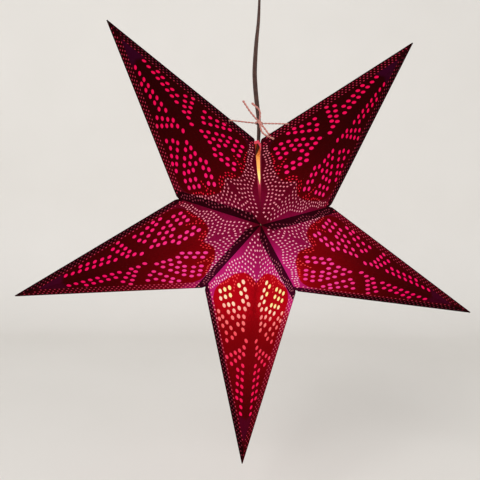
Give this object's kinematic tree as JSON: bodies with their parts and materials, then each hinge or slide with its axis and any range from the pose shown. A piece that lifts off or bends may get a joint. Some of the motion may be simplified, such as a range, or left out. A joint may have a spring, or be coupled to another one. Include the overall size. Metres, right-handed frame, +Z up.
{
  "type": "paper star lantern",
  "caption": "Folded paper star lantern on a hanging flex: punched, tissue-backed arms tied shut round a lampholder and bulb, hung from a ceiling rose.",
  "frame": {"origin": "middle of the ceiling face of the rose bracket", "axes": "+Z up out of the ceiling face, -Y out of the front of the star, +X to the right seen from the front"},
  "size_m": [0.5601, 0.1588, 0.6313],
  "materials": {
    "paper": "heavy handmade paper, dark maroon print with a magenta centre",
    "tissue": "thin translucent pink tissue, lit from behind",
    "cotton_string": "soft twisted cotton",
    "flex": "dark brown twin flex",
    "zinc_steel": "zinc plated",
    "brass": "pressed",
    "rose_plastic": "moulded, slightly warm white",
    "bakelite": "dark moulded",
    "ceramic": "unglazed",
    "bulb_glass": "clear, warm lit",
    "filament": "warm white filament"
  },
  "bodies": {
    "rose": {"rose_bracket": "zinc_steel", "rose_cup": "rose_plastic", "rose_nipple": "zinc_steel", "nipple_nut": "brass", "cord_grip": "rose_plastic", "terminal_block": "rose_plastic", "flex_tail": "flex"},
    "cord": {"twin_flex": "flex", "holder_cap": "bakelite", "contact_insert": "ceramic", "holder_body": "bakelite", "thread_sleeve": "brass", "holder_ring": "bakelite"},
    "knot": {"tie_knot": "cotton_string"},
    "bulb": {"bulb_contact_tip": "ceramic", "bulb_screw_shell": "brass", "bulb_glass": "bulb_glass", "filament_stem": "filament"},
    "upper_right_front_clockwise": {"upper_right_front_clockwise_panel": "paper", "upper_right_front_clockwise_tissue": "tissue"},
    "upper_right_front_counter": {"upper_right_front_counter_panel": "paper", "upper_right_front_counter_tissue": "tissue", "right_tie_string": "cotton_string"},
    "upper_right_back_clockwise": {"upper_right_back_clockwise_panel": "paper", "upper_right_back_clockwise_tissue": "tissue"},
    "upper_right_back_counter": {"upper_right_back_counter_panel": "paper", "upper_right_back_counter_tissue": "tissue"},
    "lower_right_front_clockwise": {"lower_right_front_clockwise_panel": "paper", "lower_right_front_clockwise_tissue": "tissue"},
    "lower_right_front_counter": {"lower_right_front_counter_panel": "paper", "lower_right_front_counter_tissue": "tissue"},
    "lower_right_back_clockwise": {"lower_right_back_clockwise_panel": "paper", "lower_right_back_clockwise_tissue": "tissue"},
    "lower_right_back_counter": {"lower_right_back_counter_panel": "paper", "lower_right_back_counter_tissue": "tissue"},
    "bottom_front_clockwise": {"bottom_front_clockwise_panel": "paper", "bottom_front_clockwise_tissue": "tissue"},
    "bottom_front_counter": {"bottom_front_counter_panel": "paper", "bottom_front_counter_tissue": "tissue"},
    "bottom_back_clockwise": {"bottom_back_clockwise_panel": "paper", "bottom_back_clockwise_tissue": "tissue"},
    "bottom_back_counter": {"bottom_back_counter_panel": "paper", "bottom_back_counter_tissue": "tissue"},
    "lower_left_front_clockwise": {"lower_left_front_clockwise_panel": "paper", "lower_left_front_clockwise_tissue": "tissue"},
    "lower_left_front_counter": {"lower_left_front_counter_panel": "paper", "lower_left_front_counter_tissue": "tissue"},
    "lower_left_back_clockwise": {"lower_left_back_clockwise_panel": "paper", "lower_left_back_clockwise_tissue": "tissue"},
    "lower_left_back_counter": {"lower_left_back_counter_panel": "paper", "lower_left_back_counter_tissue": "tissue"},
    "upper_left_front_clockwise": {"upper_left_front_clockwise_panel": "paper", "upper_left_front_clockwise_tissue": "tissue", "left_tie_string": "cotton_string"},
    "upper_left_front_counter": {"upper_left_front_counter_panel": "paper", "upper_left_front_counter_tissue": "tissue"},
    "upper_left_back_clockwise": {"upper_left_back_clockwise_panel": "paper", "upper_left_back_clockwise_tissue": "tissue"},
    "upper_left_back_counter": {"upper_left_back_counter_panel": "paper", "upper_left_back_counter_tissue": "tissue"}
  },
  "joints": [
    {"name": "cord_swing", "type": "hinge", "parent": "rose", "child": "cord", "pos_m": [0, 0, -0.04], "axis": [0, 1, 0], "range_deg": [-8, 8]},
    {"name": "star_turn", "type": "hinge", "parent": "cord", "child": "knot", "pos_m": [0.0033, 0, -0.212], "axis": [0, 0, 1], "range_deg": [-90, 90]},
    {"name": "star_nod", "type": "hinge", "parent": "knot", "child": "bottom_front_counter", "pos_m": [0.0033, 0, -0.212], "axis": [1, 0, 0], "range_deg": [-3, 3]},
    {"name": "bulb_draw", "type": "slide", "parent": "cord", "child": "bulb", "axis": [0, 0, -1], "range_m": [0, 0.024]},
    {"name": "top_seam_open", "type": "hinge", "parent": "bottom_front_counter", "child": "bottom_front_clockwise", "pos_m": [0, -0.08, -0.335], "axis": [-0.0224, 0.2577, -0.966], "range_deg": [0, 15.2]},
    {"name": "lower_left_seam_fold", "type": "hinge", "parent": "bottom_front_clockwise", "child": "lower_left_front_counter", "pos_m": [0, -0.08, -0.335], "axis": [0.4628, -0.6324, 0.6212], "range_deg": [0, 13.71]},
    {"name": "lower_left_ridge_fold", "type": "hinge", "parent": "lower_left_front_counter", "child": "lower_left_front_clockwise", "pos_m": [0, -0.08, -0.335], "axis": [-0.9192, 0.2577, -0.2979], "range_deg": [0, 15.25]},
    {"name": "upper_left_seam_fold", "type": "hinge", "parent": "lower_left_front_clockwise", "child": "upper_left_front_counter", "pos_m": [0, -0.08, -0.335], "axis": [0.7392, -0.6324, -0.2317], "range_deg": [0, 13.71]},
    {"name": "upper_left_ridge_fold", "type": "hinge", "parent": "upper_left_front_counter", "child": "upper_left_front_clockwise", "pos_m": [0, -0.08, -0.335], "axis": [-0.5848, 0.2577, 0.7692], "range_deg": [0, 14.41]},
    {"name": "lower_right_seam_fold", "type": "hinge", "parent": "bottom_front_counter", "child": "lower_right_front_clockwise", "pos_m": [0, -0.08, -0.335], "axis": [0.4335, 0.6324, -0.642], "range_deg": [0, 13.71]},
    {"name": "lower_right_ridge_fold", "type": "hinge", "parent": "lower_right_front_clockwise", "child": "lower_right_front_counter", "pos_m": [0, -0.08, -0.335], "axis": [-0.9044, -0.2577, 0.3402], "range_deg": [0, 15.25]},
    {"name": "upper_right_seam_fold", "type": "hinge", "parent": "lower_right_front_counter", "child": "upper_right_front_clockwise", "pos_m": [0, -0.08, -0.335], "axis": [0.7492, 0.6324, 0.1971], "range_deg": [0, 13.71]},
    {"name": "upper_right_ridge_fold", "type": "hinge", "parent": "upper_right_front_clockwise", "child": "upper_right_front_counter", "pos_m": [0, -0.08, -0.335], "axis": [-0.6198, -0.2577, -0.7412], "range_deg": [0, 14.41]},
    {"name": "upper_right_clockwise_edge_fold", "type": "hinge", "parent": "upper_right_front_clockwise", "child": "upper_right_back_clockwise", "pos_m": [0.19245, 0, -0.10486], "axis": [-0.4298, 0, -0.9029], "range_deg": [0, 15.09]},
    {"name": "upper_right_counter_edge_fold", "type": "hinge", "parent": "upper_right_front_counter", "child": "upper_right_back_counter", "pos_m": [0.19245, 0, -0.10486], "axis": [0.8274, 0, 0.5616], "range_deg": [0, 13.52]},
    {"name": "lower_right_clockwise_edge_fold", "type": "hinge", "parent": "lower_right_front_clockwise", "child": "lower_right_back_clockwise", "pos_m": [0.28079, 0, -0.44063], "axis": [-0.9942, 0, 0.1074], "range_deg": [0, 15.09]},
    {"name": "lower_right_counter_edge_fold", "type": "hinge", "parent": "lower_right_front_counter", "child": "lower_right_back_counter", "pos_m": [0.28079, 0, -0.44063], "axis": [0.8185, 0, -0.5745], "range_deg": [0, 15.09]},
    {"name": "bottom_clockwise_edge_fold", "type": "hinge", "parent": "bottom_front_clockwise", "child": "bottom_back_clockwise", "pos_m": [-0.00696, 0, -0.63492], "axis": [-0.227, 0, 0.9739], "range_deg": [0, 15.09]},
    {"name": "bottom_counter_edge_fold", "type": "hinge", "parent": "bottom_front_counter", "child": "bottom_back_counter", "pos_m": [-0.00696, 0, -0.63492], "axis": [-0.2719, 0, -0.9623], "range_deg": [0, 15.09]},
    {"name": "lower_left_clockwise_edge_fold", "type": "hinge", "parent": "lower_left_front_clockwise", "child": "lower_left_back_clockwise", "pos_m": [-0.28539, 0, -0.42749], "axis": [0.8443, 0, 0.5359], "range_deg": [0, 15.09]},
    {"name": "lower_left_counter_edge_fold", "type": "hinge", "parent": "lower_left_front_counter", "child": "lower_left_back_counter", "pos_m": [-0.28539, 0, -0.42749], "axis": [-0.9981, 0, -0.0612], "range_deg": [0, 15.09]},
    {"name": "upper_left_clockwise_edge_fold", "type": "hinge", "parent": "upper_left_front_clockwise", "child": "upper_left_back_clockwise", "pos_m": [-0.18156, 0, -0.09618], "axis": [0.8005, 0, -0.5994], "range_deg": [0, 13.52]},
    {"name": "upper_left_counter_edge_fold", "type": "hinge", "parent": "upper_left_front_counter", "child": "upper_left_back_counter", "pos_m": [-0.18156, 0, -0.09618], "axis": [-0.3874, 0, 0.9219], "range_deg": [0, 15.09]}
  ],
  "couplings": [
    {"joint": "lower_left_seam_fold", "follows": "top_seam_open", "ratio": 0.8987},
    {"joint": "lower_left_ridge_fold", "follows": "top_seam_open", "ratio": 1},
    {"joint": "upper_left_seam_fold", "follows": "top_seam_open", "ratio": 0.8987},
    {"joint": "upper_left_ridge_fold", "follows": "top_seam_open", "ratio": 0.9448},
    {"joint": "lower_right_seam_fold", "follows": "top_seam_open", "ratio": 0.8987},
    {"joint": "lower_right_ridge_fold", "follows": "top_seam_open", "ratio": 1},
    {"joint": "upper_right_seam_fold", "follows": "top_seam_open", "ratio": 0.8987},
    {"joint": "upper_right_ridge_fold", "follows": "top_seam_open", "ratio": 0.9448},
    {"joint": "upper_right_clockwise_edge_fold", "follows": "top_seam_open", "ratio": 0.9892},
    {"joint": "upper_right_counter_edge_fold", "follows": "top_seam_open", "ratio": 0.8863},
    {"joint": "lower_right_clockwise_edge_fold", "follows": "top_seam_open", "ratio": 0.9892},
    {"joint": "lower_right_counter_edge_fold", "follows": "top_seam_open", "ratio": 0.9892},
    {"joint": "bottom_clockwise_edge_fold", "follows": "top_seam_open", "ratio": 0.9892},
    {"joint": "bottom_counter_edge_fold", "follows": "top_seam_open", "ratio": 0.9892},
    {"joint": "lower_left_clockwise_edge_fold", "follows": "top_seam_open", "ratio": 0.9892},
    {"joint": "lower_left_counter_edge_fold", "follows": "top_seam_open", "ratio": 0.9892},
    {"joint": "upper_left_clockwise_edge_fold", "follows": "top_seam_open", "ratio": 0.8863},
    {"joint": "upper_left_counter_edge_fold", "follows": "top_seam_open", "ratio": 0.9892}
  ]
}
